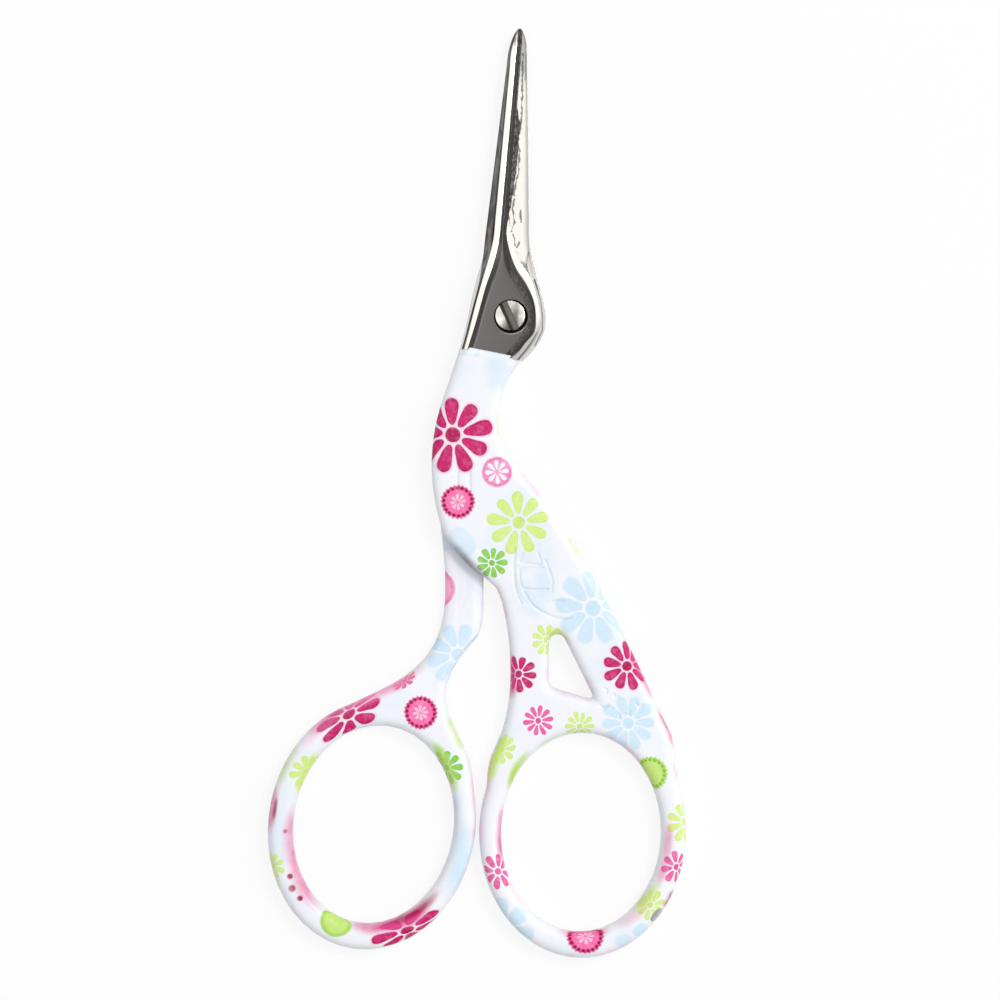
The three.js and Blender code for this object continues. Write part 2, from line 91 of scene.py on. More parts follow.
REAR_MOUTH = [
    (6.6, 0.86, 0.8, 0.76, 0.7, 0.02), (8.2, 1, 0.76, 0.7, 0.5, 0.15), (9.9, 1.05, 0.7, 0.62, 0.3, 0.2),
    (12.16, 1.09, 0.753, 0.676, 0.365, 0.191), (30.24, 1.41, 1.177, 1.124, 0.885, 0.119),
    (32.5, 1.45, 1.23, 1.18, 0.95, 0.11), (34.39, 1.22, 1.15, 1.12, 1.05, 0.05),
]
# Dark marks left by the forging on the bevel, as broken lines in millimetres
FORGING_MARKS = [
    [(1.17, 20.5), (1, 18.54), (1.05, 17.57), (0.68, 16.22), (0.46, 14.75)],
    [(0.5, 14.26), (0.29, 12.92), (0.54, 11.57), (0.17, 10.29)],
    [(0.26, 9.92), (0.54, 9.37), (0.56, 8.64), (0.83, 8.27), (1.11, 8.94)],
    [(1.25, 12.92), (1.31, 11.45)],
    [(1.56, 32.1), (1.5, 29.5), (1.46, 26.86), (1.42, 24.66), (1.2, 22.21)],
]
# Painted shadow line at the foot of the front half, and heights over which it and the half's upper faces lie
SEAM_SHADOW_HEIGHT, UPPER_HEIGHT = 1.5 * MM, 1.8 * MM
SEAM_SHADOW_LINE = [(2.97, 4.35), (3.71, 1.91), (3.95, 0.07), (3.95, -1.76), (3.03, -3.6)]
# Lines along the front half: lean to the right, and place across at the pivot in millimetres
BEVEL_LINE = (0.0708, -1)
GROOVE_RIM = (0.0903, -2.184)
HEAD_RIDGE = (0.268, -4.71)
SLOPE_MIDDLE, SLOPE_WIDTH = (0.1094, -3.604), (-0.0157, 0.664)
POCKET_FOOT = (0.282, -3.36)
# Height of the face where each half lies on the other, and the half's thickness from there
FRONT_FACE_Z, FRONT_HEIGHT = 1.75, 2.3
REAR_FACE_Z, REAR_HEIGHT = 1.65, -1.65
# Where the bevel swells, as shares of its width and drop, and how far the mouth runs on past its ends
SWELL_OUT, SWELL_DOWN = 0.55, 0.45
MOUTH_RUN_IN, MOUTH_RUN_OUT = 0.4, 0.5
# Length of a beak's slices, the share of a side that a corner may take, and the radii of the corners
SLICE_LENGTH, CORNER_ROOM = 0.25, 0.42
CORNER_RADII = [0.05, 0.08, 0.1, 0.07, 0.12, 0.12, 0.07, 0.1, 0.9, 0.1, 0.05]

# Screw and the seat for its head, which lies a little off the pivot, in millimetres
SEAT_Z, SEAT_RADIUS, SEAT_BRIM_RADIUS, HOLE_RADIUS = 2.5, 2.08, 2.17, 1.26
SEAT_X, SEAT_Y = 0.09, -0.11
DRILL_FOOT, DRILL_TOP = -4, 8
SCREW_RIM_Z, SCREW_UNDERSIDE_Z, SHANK_RADIUS = 3.41, 2.52, 1.2
RIM_BEVEL, SLOT_BEVEL, ROUND_STEPS = 0.09, 0.035, 96
# Widths and rises of the rings that dome the head
DOME_STEPS = [(0.35, 0.02), (0.45, 0.025), (0.45, 0.015), (0.3, 0.005)]
SLOT_TURN = math.radians(114)
SLOT_ACROSS = Vector((-math.sin(SLOT_TURN), math.cos(SLOT_TURN), 0))
SLOT_LENGTH, SLOT_WIDTH, SLOT_OFFSET = 8, 0.92, 0.1
SLOT_FLOOR_Z, SLOT_TOP_Z = 3.11, 4.01

# Edge of the cubes that even out a handle's skin, and heights of its upper faces, in millimetres
FRONT_VOXEL, REAR_VOXEL = 0.176, 0.15
FRONT_NECK_TOP, REAR_NECK_TOP, RING_TOP = 3.95, 1.65, 3.4
NECK_END_Y, RING_START_Y = -35, -47
# Worn spot on the right ring: place, half width in millimetres and turn in degrees
CHIP = (17.9, -73.3, 0.46, 50)

# What edit mode selects by, angles from which edges stay sharp, how level a flat face is, and gaps in metres
# that merging closes
BY_EDGE, BY_FACE = (False, True, False), (False, False, True)
SHARP_EDGE, SHARP_SCREW_EDGE = math.radians(40), math.radians(35)
FLAT = 0.9
SHEET_GAP, COPY_GAP = 1e-7, 1e-6

# Feather lines pressed into the front handle, in millimetres
FEATHER_LINES = [
    [(0.57, -28.67), (0.43, -30.59), (0.53, -32.32), (0.78, -33.93), (1.32, -35.15)],
    [(1.19, -30.89), (1.19, -32.32), (1.59, -33.53), (1.9, -34.14), (2.7, -35.35), (3.82, -36.17),
     (5.24, -36.83), (6.56, -37.08), (7.44, -37.01)],
    [(1.52, -29.1), (1.19, -30.08), (2.3, -30.31), (3.72, -30.43), (3.36, -28.97)],
    [(1.19, -30.89), (2.54, -30.78), (4.01, -30.85)],
    [(1.64, -33.38), (3.03, -33.47), (4.59, -33.48)],
    [(4.26, -29.9), (4.73, -31.09), (5.14, -32.41), (5.05, -33.81)],
    [(5.14, -34.9), (5.85, -34.86), (6.56, -34.9)],
    [(-6.39, -19.13), (-6.43, -20.23), (-6.34, -21.33)],
    [(-4.92, -19.25), (-4.97, -20.35), (-4.87, -21.45)],
    [(11.45, -45.59), (11.78, -45.75), (11.75, -46.19)],
    [(12.66, -46.3), (12.82, -46.63), (13.26, -46.57)],
    [(11.07, -47.72), (11.51, -48), (11.89, -47.72)],
    [(13.37, -48.85), (13.48, -49.42)],
    [(14.02, -48.71), (14.51, -48.76), (14.62, -48.37)],
    [(15.39, -47.51), (15.75, -47.83), (16.17, -47.58)],
]
FEATHER_HALF_WIDTH = 0.26 * MM
FEATHER_DEPTH = 0.08 * MM

# Print: centre and radius in millimetres, petals, turn in degrees, and for a drawn-out daisy its width as
# a share and the lie of its length in degrees
FRONT_DAISIES = {
    "sky": [(10.13, -35.77, 4.89, 9, 6), (14.41, -49.83, 3.55, 10, 17), (-1.25, -75.6, 4.4, 8, 22.5)],
    "magenta": [(-7, -14.61, 4.95, 9, 7), (1.02, -43.84, 2.26, 9, 25), (14.29, -42.86, 3.18, 9, 12)],
    "pink": [(3.4, -49.54, 1.9, 10, 10), (20.34, -67.45, 2.08, 8, 15), (-1.49, -67.94, 2.2, 8, 28)],
    "lime": [
        (1.03, -25.31, 3.98, 9, 7), (4.5, -39.68, 2.08, 9, 20), (8.49, -50.2, 1.83, 10, 18),
        (-1, -53.01, 2.08, 9, 0, 0.8, 60), (21.63, -61.94, 2.57, 9, 20), (17.1, -72.1, 1.96, 9, 5),
    ],
    "green": [(-2.25, -30.26, 1.96, 9, 18)],
}
REAR_DAISIES = {
    "sky": [(-6.39, -41.52, 4.16, 9, 28)],
    "magenta": [
        (-19.72, -48.73, 4.65, 8, -2, 0.58, 36), (-12.56, -75.15, 4.65, 7, 8, 0.5, 21),
        (-4.92, -13.99, 3.67, 9, 5),
    ],
    "pink": [(-12.99, -44.57, 1.65, 8, 0, 0.6, 35)],
    "lime": [(-24.86, -55.83, 2.14, 8, 12), (-29.2, -67.32, 1.71, 8, 0), (-4.92, -25, 3.18, 9, 0)],
    "green": [(-7.85, -55.35, 2.25, 9, 15), (-3.69, -18.89, 1.71, 9, 0)],
}
# Centre and radius in millimetres, dots round the rim
FRONT_ROUNDELS = {
    "rose": [(-6.39, -22.8, 2.12, 18), (9.19, -75.83, 2.32, 20)],
    "blush": [(-1.61, -19.13, 1.91, 0)],
    "green": [(17.16, -56.01, 2.12, 18)],
}
REAR_ROUNDELS = {
    "rose": [(-10.94, -48.55, 2.08, 18)],
    "green": [(-21.25, -73.99, 2.08, 0)],
    "plain": [(-9.15, -33.44, 2.44, 0)],
}
# Ink drawn out along the edges: half width in millimetres, strength, and line in millimetres
FRONT_GREEN_LINE = [(2.6, -52.9), (1.28, -54.54), (0.49, -55.77), (-0.3, -58.5)]
REAR_GREEN_LINE = [(-10.18, -51.55), (-8.46, -53.5), (-7.12, -56.19), (-6.51, -58.88)]
FRONT_SMEARS = {
    "sky": [
        (1.96, 0.6, [(3.16, -30.63), (4.26, -33.32), (3.4, -35.52)]),
        (1.45, 0.65, [(-6.3, -27.2), (-5.5, -28.2)]),
        (1.9, 0.55, [(1, -31), (1.5, -33.6), (3.2, -35.8), (5.2, -36.6)]),
        (0.85, 0.9, [(13.5, -76.5), (14.1, -76.3)]),
        (0.8, 0.9, [(15.65, -75.35), (16.15, -74.95)]),
        (2.4, 0.65, [(-2.3, -4.2), (-0.6, -9.8)]),
        (0.6, 0.8, [(-4.18, -4.6), (-4.06, -5.2)]),
        (0.7, 0.8, [(-5.5, -4.3), (-5.7, -5)]),
    ],
    "pink": [
        (1, 1, [(-0.1, -40.6), (0.05, -44.08), (0.36, -47.4)]),
        (0.61, 0.8, [(13.68, -39.8), (15.14, -42.37), (16.73, -45.31), (17.83, -47.75)]),
        (0.73, 0.9, [(17.83, -47.51), (18.81, -49.34), (19.67, -51.06), (20.16, -53.38)]),
        (0.98, 1, [(-0.64, -59.25), (-0.88, -61.94), (-1, -64.39), (-0.64, -67.57)]),
        (0.86, 0.6, [(19.42, -61.09), (19.3, -64.39), (18.81, -67.57), (17.59, -70.75)]),
        (0.86, 0.35, [(17.71, -70.51), (15.39, -73.32), (12.45, -75.03)]),
        (0.86, 0.75, [(12.7, -74.91), (10.98, -75.52), (9.15, -75.77), (7.56, -75.64), (5.36, -75.03)]),
    ],
    "lime": [
        (0.98, 1, [(-0.15, -50.44), (-1.13, -52.89), (-1.98, -54.85), (-2.84, -57.78)]),
        (0.8, 0.85, [(4.7, -39.8), (4.97, -38.95), (5.72, -38.65), (6.58, -39.25)]),
        (0.43, 0.6, [(6.83, -26.59), (7.68, -28.18), (8.66, -29.77)]),
        (0.61, 0.9, [(21.63, -58.27), (21.99, -61.45), (21.87, -65.12)]),
        (0.98, 0.9, [(18.32, -69.04), (16.86, -71.24), (14.65, -73.07)]),
        (0.8, 1, FRONT_GREEN_LINE),
    ],
    # Painted shade along the front body's lower-left edge, where it laps over the rear half
    "painted lap shade": [
        (1.1, 0.85, [
            (-7.89, -26.96), (-6.75, -28.67), (-5.41, -30.14), (-4.18, -31.36), (-3.2, -32.4), (-2.2, -33.6),
        ]),
    ],
    "green": [(0.7, 0.35, FRONT_GREEN_LINE)],
    "magenta": [
        (0.75, 1, [(20.16, -70.02), (19.61, -71.48), (18.63, -72.83)]),
        (0.49, 0.9, [(18.32, -48.12), (19.06, -49.59), (19.55, -51.06)]),
    ],
}
REAR_SMEARS = {
    "sky": [
        (1.71, 0.9, [(-5.9, -60.5), (-5.8, -65), (-6.5, -69), (-8.2, -72)]),
        (0.86, 0.6, [(-6.75, -57.54), (-6.51, -61.09), (-6.63, -64.63)]),
        (1.47, 0.7, [(-7.85, -26.47), (-7.36, -29.16)]),
    ],
    "light pink": [
        (1.6, 1, [
            (-25.6, -53.6), (-23.4, -49.8), (-21.2, -47.9), (-18.4, -46.7), (-15, -45.2), (-11.77, -43.47),
            (-9.9, -42),
        ]),
    ],
    "pink": [
        (0.61, 0.45, [(-14.83, -46.04), (-13.11, -45.06), (-11.28, -43.72)]),
        (1.71, 0.78, [
            (-26.2, -58.76), (-26.57, -61.94), (-26.51, -64.76), (-25.96, -67.32), (-25.1, -69.77),
            (-23.88, -71.73), (-22.04, -73.32),
        ]),
        (1.1, 0.8, [(-26.2, -65.12), (-25.47, -68.3), (-24.37, -70.87)]),
        (0.98, 0.65, [(-28.65, -56.81), (-29.32, -59.99), (-29.38, -63.66)]),
        (1.35, 0.95, [(-21.06, -73.81), (-17.76, -74.66), (-14.7, -74.42), (-11.77, -73.44), (-8.95, -70.75)]),
    ],
    "lime": [
        (1.1, 0.5, [(-25.71, -52.16), (-27.67, -55.09), (-28.53, -58.03)]),
        (1.1, 0.9, [(-23.02, -52.89), (-24.98, -55.7), (-26.08, -59.74)]),
        (0.86, 0.7, [(-7.98, -48.49), (-6.63, -50.93), (-5.77, -53.63)]),
        (0.86, 0.9, REAR_GREEN_LINE),
    ],
    "green": [(0.86, 0.4, REAR_GREEN_LINE)],
    "magenta": [
        (0.38, 0.9, [(-28.53, -58.52), (-28.77, -60.35), (-29.08, -62.19)]),
        (0.45, 0.45, [(-24, -51.42), (-22.29, -49.47), (-19.84, -47.63)]),
        (0.8, 0.9, [(-15.5, -74.6), (-12.6, -73.5), (-10.3, -72), (-8.3, -69.9)]),
        (0.42, 1, [(-26.93, -68.55), (-26.89, -68.55)]),
        (0.52, 1, [(-26.69, -70.02), (-26.64, -70.02)]),
        (0.42, 1, [(-25.71, -71.24), (-25.66, -71.24)]),
        (0.32, 0.9, [(-27.55, -63.04), (-27.5, -63.04)]),
    ],
}


def shade(red, green, blue):
    """Linear colour of a screen colour from 0 to 255."""
    shares = [channel / 255 for channel in (red, green, blue)]
    return tuple(s / 12.92 if s <= 0.04045 else ((s + 0.055) / 1.055) ** 2.4 for s in shares) + (1.0,)


WHITE = shade(242, 244, 250)
BLUSH = shade(248, 186, 216)
INKS = {
    "magenta": shade(172, 4, 80),
    "pink": shade(226, 78, 148),
    "light pink": shade(254, 146, 198),
    "lime": shade(206, 232, 118),
    "green": shade(116, 194, 58),
    "sky": shade(203, 230, 248),
    # Painted shade for the lap of the front handle
    "painted lap shade": shade(118, 122, 131),
}
# Petals: lighter ink at their hearts, how soft their edges are, and their width as a share of the room
PETALS = {
    "magenta": (shade(218, 38, 120), 0.1, 0.39),
    "pink": (shade(242, 112, 174), 0.14, 0.36),
    "lime": (shade(222, 242, 150), 0.18, 0.37),
    "green": (shade(152, 216, 88), 0.14, 0.39),
    "sky": (shade(213, 235, 250), 0.45, 0.42),
}
# Disc, brim, dots, and how white the star is
ROUNDEL_INKS = {
    "rose": (shade(250, 112, 176), shade(228, 58, 134), shade(152, 4, 70), 0.55),
    "blush": (shade(246, 148, 196), shade(238, 128, 182), WHITE, 1),
    "green": (shade(200, 232, 124), shade(172, 218, 90), shade(134, 194, 58), 0),
    "plain": (shade(252, 184, 216), shade(246, 138, 190), WHITE, 0),
}


# Modelling


def start_on(piece):
    bpy.ops.object.select_all(action="DESELECT")
    piece.select_set(True)
    bpy.context.view_layer.objects.active = piece


def edit(piece, action="SELECT"):
    start_on(piece)
    bpy.ops.object.mode_set(mode="EDIT")
    bpy.ops.mesh.select_all(action=action)


def done():
    bpy.ops.object.mode_set(mode="OBJECT")


def face_outward():
    bpy.ops.mesh.select_all(action="SELECT")
    bpy.ops.mesh.normals_make_consistent()
    done()


def pick_faces(piece, wanted):
    done()
    chosen = [bool(wanted(face)) for face in piece.data.polygons]
    for items in (piece.data.vertices, piece.data.edges):
        items.foreach_set("select", [False] * len(items))
    piece.data.polygons.foreach_set("select", chosen)
    bpy.context.tool_settings.mesh_select_mode = BY_FACE
    bpy.ops.object.mode_set(mode="EDIT")


def name_new(name):
    """Names the piece that was just added."""
    piece = bpy.context.active_object
    piece.name = piece.data.name = name
    return piece


def apply(piece, kind, label, **settings):
    start_on(piece)
    modifier = piece.modifiers.new(label, kind)
    for setting, value in settings.items():
        setattr(modifier, setting, value)
    bpy.ops.object.modifier_apply(modifier=modifier.name)


def cut_with(piece, cutter, label):
    apply(piece, "BOOLEAN", label, operation="DIFFERENCE", object=cutter, solver="EXACT")
    bpy.data.objects.remove(cutter)


def add_round(radius, low, high, x=0, y=0):
    bpy.ops.mesh.primitive_cylinder_add(
        vertices=ROUND_STEPS, radius=radius, depth=(high - low) * MM,
        location=(x * MM, y * MM, (low + high) / 2 * MM),
    )
    return bpy.context.active_object


def cut_at_neck(piece, along, keep_beak):
    edit(piece)
    bpy.ops.mesh.bisect(
        plane_co=COAT_EDGE + along * MM * COAT_EDGE_NORMAL, plane_no=COAT_EDGE_NORMAL,
        use_fill=keep_beak, clear_inner=keep_beak, clear_outer=not keep_beak, threshold=SHEET_GAP,
    )
    done()


def outer_skin(piece):
    """Keeps the outer one of two nested open shells and closes its neck end."""
    name = piece.name
    edit(piece)
    bpy.ops.mesh.separate(type="LOOSE")
    done()
    outer, *spares = sorted(bpy.context.selected_objects, key=lambda shell: -shell.dimensions.length)
    for spare in spares:
        bpy.data.objects.remove(spare)
    outer.name = outer.data.name = name
    bpy.context.tool_settings.mesh_select_mode = BY_EDGE
    edit(outer, "DESELECT")
    bpy.ops.mesh.select_non_manifold()
    bpy.ops.mesh.edge_face_add()
    face_outward()
    return outer


def rows_of(items, label, kind=float):
    """The same vector of each item, as rows."""
    values = np.empty(len(items) * 3, kind)
    items.foreach_get(label, values)
    return values.reshape(-1, 3)


def places_of(piece):
    return rows_of(piece.data.vertices, "co")


def move_to(piece, places):
    piece.data.vertices.foreach_set("co", places.ravel())
    piece.data.update()


def paint(piece, label, values, domain="POINT"):
    layer = piece.data.attributes.new(label, "FLOAT", domain)
    layer.data.foreach_set("value", values.astype(np.float32))


def ease(values, low, high):
    share = np.clip((values - low) / (high - low), 0, 1)
    return share * share * (3 - 2 * share)


def ease_mm(values, low, high):
    return ease(values, low * MM, high * MM)


def law(rows, stations):
    """Smooth values of each column at the stations."""
    table = np.array(rows, float)
    knots, values = table[:, 0], table[:, 1:]
    stations = np.clip(stations, knots[0], knots[-1])
    place = np.clip(np.searchsorted(knots, stations, side="right"), 1, len(knots) - 1)
    steps = np.diff(knots)
    rates = np.diff(values, axis=0) / steps[:, None]
    slopes = np.vstack([rates[:1], (rates[1:] + rates[:-1]) / 2, rates[-1:]])
    step = steps[place - 1][:, None]
    t = ((stations - knots[place - 1]) / steps[place - 1])[:, None]
    return (
        (2 * t**3 - 3 * t**2 + 1) * values[place - 1] + (t**3 - 2 * t**2 + t) * step * slopes[place - 1]
        + (3 * t**2 - 2 * t**3) * values[place] + (t**3 - t**2) * step * slopes[place]
    )


def smooth_line(corners, steps=6):
    """Places along a smooth curve through the corners."""
    if len(corners) < 3:
        return corners
    rows = [(number, *corner) for number, corner in enumerate(corners)]
    return law(rows, np.linspace(0, len(corners) - 1, steps * (len(corners) - 1) + 1)).tolist()


def near_line(flat, line):
    """Distance of each place on the flat from a line, the length passed along it, and the line's length."""
    corners = np.array(line) * MM
    away, passed = np.full(len(flat), 1.0), np.zeros(len(flat))
    before = 0
    for start, end in zip(corners, corners[1:]):
        run = end - start
        length = np.linalg.norm(run)
        share = np.clip(((flat - start) @ run) / (run @ run), 0, 1)
        gap = np.linalg.norm(flat - start - share[:, None] * run, axis=1)
        passed = np.where(gap < away, before + share * length, passed)
        away = np.minimum(gap, away)
        before += length
    return away, passed, before


def away_from_lines(places, lines):
    return np.min([near_line(places[:, :2], line)[0] for line in lines], axis=0)


def paint_smears(piece, smears):
    """Ink, and the painted lap shade, along lines, narrower and paler to both ends of each longer one."""
    flat = places_of(piece)[:, :2]
    for ink, lines in smears.items():
        ink_left = np.zeros(len(flat))
        for half_width, strength, line in lines:
            away, passed, length = near_line(flat, smooth_line(line))
            reach = half_width * MM
            ends, core = 1, max(0.6 * reach, reach - 0.25 * MM)
            if length > reach:
                ends, core = ease(np.minimum(passed, length - passed), 0, 0.3 * length), 0.1 * reach
            trace = strength * ends * (1 - ease(away, core, reach * (0.5 + 0.5 * ends)))
            ink_left = np.maximum(ink_left, trace)
        paint(piece, ink + " smear", ink_left)


def press_feathers(piece):
    """Finer faces along the feather lines, pressed in as soft grooves."""
    lines = [smooth_line(line) for line in FEATHER_LINES]
    half_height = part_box("front_handle_coat")[1].z / 2
    centres = rows_of(piece.data.polygons, "center")
    near = (away_from_lines(centres, lines) < 2.5 * FEATHER_HALF_WIDTH) & (centres[:, 2] > half_height)
    start_on(piece)
    pick_faces(piece, lambda face: near[face.index])
    bpy.ops.mesh.subdivide()
    done()
    places = places_of(piece)
    groove = 1 - ease(away_from_lines(places, lines), 0, FEATHER_HALF_WIDTH)
    groove[places[:, 2] <= half_height] = 0
    places[:, 2] -= FEATHER_DEPTH * groove
    move_to(piece, places)
    paint(piece, "groove", groove)


def beak_outlines(sections, mouth, face, height, stations):
    """Corners of the section at each station: spine wall, ridge, groove, ridge, bevel and edge wall."""
    spine, spine_ridge, edge_ridge, edge, spine_wall, ridge, edge_wall = law(sections, stations).T
    rim_a, floor_a, floor_b, rim_b, full_depth = law(mouth, stations).T
    first, last = mouth[0][0], mouth[-1][0]
    run_in = ease(stations, first - MOUTH_RUN_IN, first)
    run_out = ease(stations, last + MOUTH_RUN_OUT, last)
    depth = full_depth * run_in * run_out
    if first == sections[0][0]:
        depth = np.where(stations < 0, full_depth, depth)
    floor = ridge - depth
    middle = edge_ridge + SWELL_OUT * (edge - edge_ridge)
    middle_height = ridge + SWELL_DOWN * (edge_wall - ridge)
    none = np.zeros(len(stations))
    across = [spine, spine, spine_ridge, rim_a, floor_a, floor_b, rim_b, edge_ridge, middle, edge, edge]
    heights = [none, spine_wall, ridge, ridge, floor, floor, ridge, ridge, middle_height, edge_wall, none]
    return np.stack([np.stack(across, axis=1), face + height * np.stack(heights, axis=1)], axis=2)


def soften(corners, radius, steps=4):
    """Rounds each corner of closed outlines by a radius that leaves room for its neighbours."""
    before = np.roll(corners, 1, axis=1) - corners
    after = np.roll(corners, -1, axis=1) - corners
    rounded = []
    for step in range(steps):
        t = step / (steps - 1)
        pieces = []
        for side, share in ((before, (1 - t) ** 2), (after, t**2)):
            length = np.linalg.norm(side, axis=2, keepdims=True)
            reach = np.minimum(radius[None, :, None], CORNER_ROOM * length)
            pieces.append(share * side / np.maximum(length, 1e-9) * reach)
        rounded.append(corners + sum(pieces))
    return np.stack(rounded, axis=2).reshape(len(corners), -1, 2)


def sunk(places, side, stations):
    """How far each place lies under the outline of its slice across the blade, and inside its two ends."""
    depth = np.zeros(len(places))
    inside = np.zeros((len(places), 2))
    slices = np.abs(places[:, 1, None] - stations * MM).argmin(axis=1)
    for number in np.unique(slices):
        row = np.flatnonzero(slices == number)
        points = np.stack([places[row, 0], side * places[row, 2]], axis=1)
        hull = []
        for x, z in points[np.lexsort((points[:, 1], points[:, 0]))]:
            while len(hull) > 1:
                (x1, z1), (x2, z2) = hull[-2:]
                if (x2 - x1) * (z - z1) < (z2 - z1) * (x - x1):
                    break
                hull.pop()
            hull.append((x, z))
        crest = np.array(hull)
        depth[row] = np.interp(points[:, 0], crest[:, 0], crest[:, 1]) - points[:, 1]
        inside[row] = np.stack([points[:, 0] - crest[0, 0], crest[-1, 0] - points[:, 0]], axis=1)
    return depth, inside


def paint_beak(piece, side, stations):
    """Marks unpolished hollows, the slope beside the ridge that gets painted shade, the bevel's brim and the
    screw's pit that is painted black as shade.
    """
    places = places_of(piece)
    normals = rows_of(piece.data.vertex_normals, "vector", np.float32)
    up = side * normals[:, 2]
    depth, inside = sunk(places, side, stations)
    hollow = ease_mm(depth, 0.02, 0.07) * ease_mm(inside.min(axis=1), 0.1, 0.2) * (up > -0.3)
    # Faces looking left on the slope, for its painted shade
    slope = ease(-side * normals[:, 0], 0.3, 0.5) * ease(up, 0.15, 0.4) * ease_mm(places[:, 1], 2, 7)
    paint(piece, "hollow", hollow)
    paint(piece, "slope", slope * (1 - hollow))
    from_edge = inside[:, 1 if side > 0 else 0]
    on_blade = ease_mm(places[:, 1], 4, 8)
    brim = 1 - ease_mm(from_edge, 0.3 - 0.22 * on_blade, 0.75 - 0.41 * on_blade)
    paint(piece, "brim", brim * (0.15 + 0.85 * on_blade))
    x, y, z = rows_of(piece.data.polygons, "center").T / MM
    in_seat = np.hypot(x - SEAT_X, y - SEAT_Y) < SEAT_RADIUS + 0.005
    # Faces of the seat's pit round the screw head, which the steel paints black as shade
    paint(piece, "pit", in_seat & (np.abs(z - SEAT_Z - 0.35) < 0.4), "FACE")


def make_beak(name, sections, mouth, face, height):
    """A sheet wrapped round the sections of the bare half, closed at both ends."""
    foot, tip = sections[0][0], sections[-1][0]
    stations = np.append(np.arange(foot, tip, SLICE_LENGTH), tip)
    loops = soften(beak_outlines(sections, mouth, face, height, stations), np.array(CORNER_RADII))
    rows, columns = loops.shape[:2]
    bpy.ops.mesh.primitive_grid_add(x_subdivisions=columns, y_subdivisions=rows - 1, size=1)
    piece = name_new(name)
    flat = places_of(piece)
    column = np.rint((flat[:, 0] + 0.5) * columns).astype(int) % columns
    row = np.rint((flat[:, 1] + 0.5) * (rows - 1)).astype(int)
    move_to(piece, np.stack([loops[row, column, 0], stations[row], loops[row, column, 1]], axis=1) * MM)
    edit(piece)
    bpy.ops.mesh.remove_doubles(threshold=SHEET_GAP)
    bpy.ops.mesh.fill_holes(sides=0)
    face_outward()
    if height > 0:
        cut_with(piece, add_round(SEAT_RADIUS * MM, SEAT_Z, DRILL_TOP, SEAT_X, SEAT_Y), "drilled hole")
    cut_with(piece, add_round(HOLE_RADIUS * MM, DRILL_FOOT, DRILL_TOP), "drilled hole")
    cut_at_neck(piece, BEAK_START, keep_beak=True)
    bpy.ops.object.shade_smooth_by_angle(angle=SHARP_EDGE)
    paint_beak(piece, math.copysign(1, height), stations)
    return piece


def make_handle(node, name, voxel):
    """The coat's outer skin, with even faces and smoothed."""
    piece = bpy.data.objects.new(name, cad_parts[node].data.copy())
    piece.data.name = name
    scene.collection.objects.link(piece)
    edit(piece)
    bpy.ops.mesh.remove_doubles(threshold=COPY_GAP)
    done()
    cut_at_neck(piece, COAT_START, keep_beak=False)
    piece = outer_skin(piece)
    apply(piece, "REMESH", "even skin", mode="VOXEL", voxel_size=voxel * MM)
    apply(piece, "SMOOTH", "polish", factor=0.5, iterations=12)
    bpy.ops.object.shade_smooth()
    return piece


def make_screw():
    """Low domed head with a slot, on a shank that ends flush with the back."""
    low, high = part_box("pivot_screw")
    radius = (high.x - low.x) / 2
    rim, underside = SCREW_RIM_Z * MM, SCREW_UNDERSIDE_Z * MM
    add_round(radius, SCREW_UNDERSIDE_Z, SCREW_RIM_Z)
    screw = name_new("eye_screw")
    bpy.ops.object.transform_apply(location=True)
    pick_faces(screw, lambda face: face.normal.z > FLAT)
    bpy.ops.mesh.bevel(offset=RIM_BEVEL * MM, segments=4)
    pick_faces(screw, lambda face: face.center.z > rim - 0.01 * MM and len(face.vertices) == ROUND_STEPS)
    for ring, rise in DOME_STEPS:
        bpy.ops.mesh.inset(thickness=ring * MM)
        bpy.ops.transform.translate(value=(0, 0, rise * MM))
    pick_faces(screw, lambda face: face.normal.z < -FLAT)
    bpy.ops.mesh.inset(thickness=radius - SHANK_RADIUS * MM)
    bpy.ops.mesh.extrude_region_move(TRANSFORM_OT_translate={"value": (0, 0, low.z - underside)})
    done()
    slot_middle = SLOT_OFFSET * SLOT_ACROSS + Vector((0, 0, (SLOT_FLOOR_Z + SLOT_TOP_Z) / 2))
    bpy.ops.mesh.primitive_cube_add(size=1, location=slot_middle * MM)
    cutter = bpy.context.active_object
    cutter.scale = Vector((SLOT_LENGTH, SLOT_WIDTH, SLOT_TOP_Z - SLOT_FLOOR_Z)) * MM
    cutter.rotation_euler = (0, 0, SLOT_TURN)
    cut_with(screw, cutter, "slot")
    apply(
        screw, "BEVEL", "slot edges", width=SLOT_BEVEL * MM, segments=2, limit_method="ANGLE",
        angle_limit=SHARP_EDGE,
    )
    bpy.ops.object.shade_smooth_by_angle(angle=SHARP_SCREW_EDGE)
    places = places_of(screw)
    height = places[:, 2]
    in_slot = np.abs(places @ np.array(SLOT_ACROSS) - SLOT_OFFSET * MM) < (SLOT_WIDTH / 2 + 0.005) * MM
    paint(screw, "hollow", in_slot * ease(height, rim, rim - 0.15 * MM) * (height > underside))
    return screw


# Materials


def by_sign(operation, turned=False):
    """Reckons with two values, the second one first where turned."""
    return lambda one, other: reckon(operation, *((other, one) if turned else (one, other)))


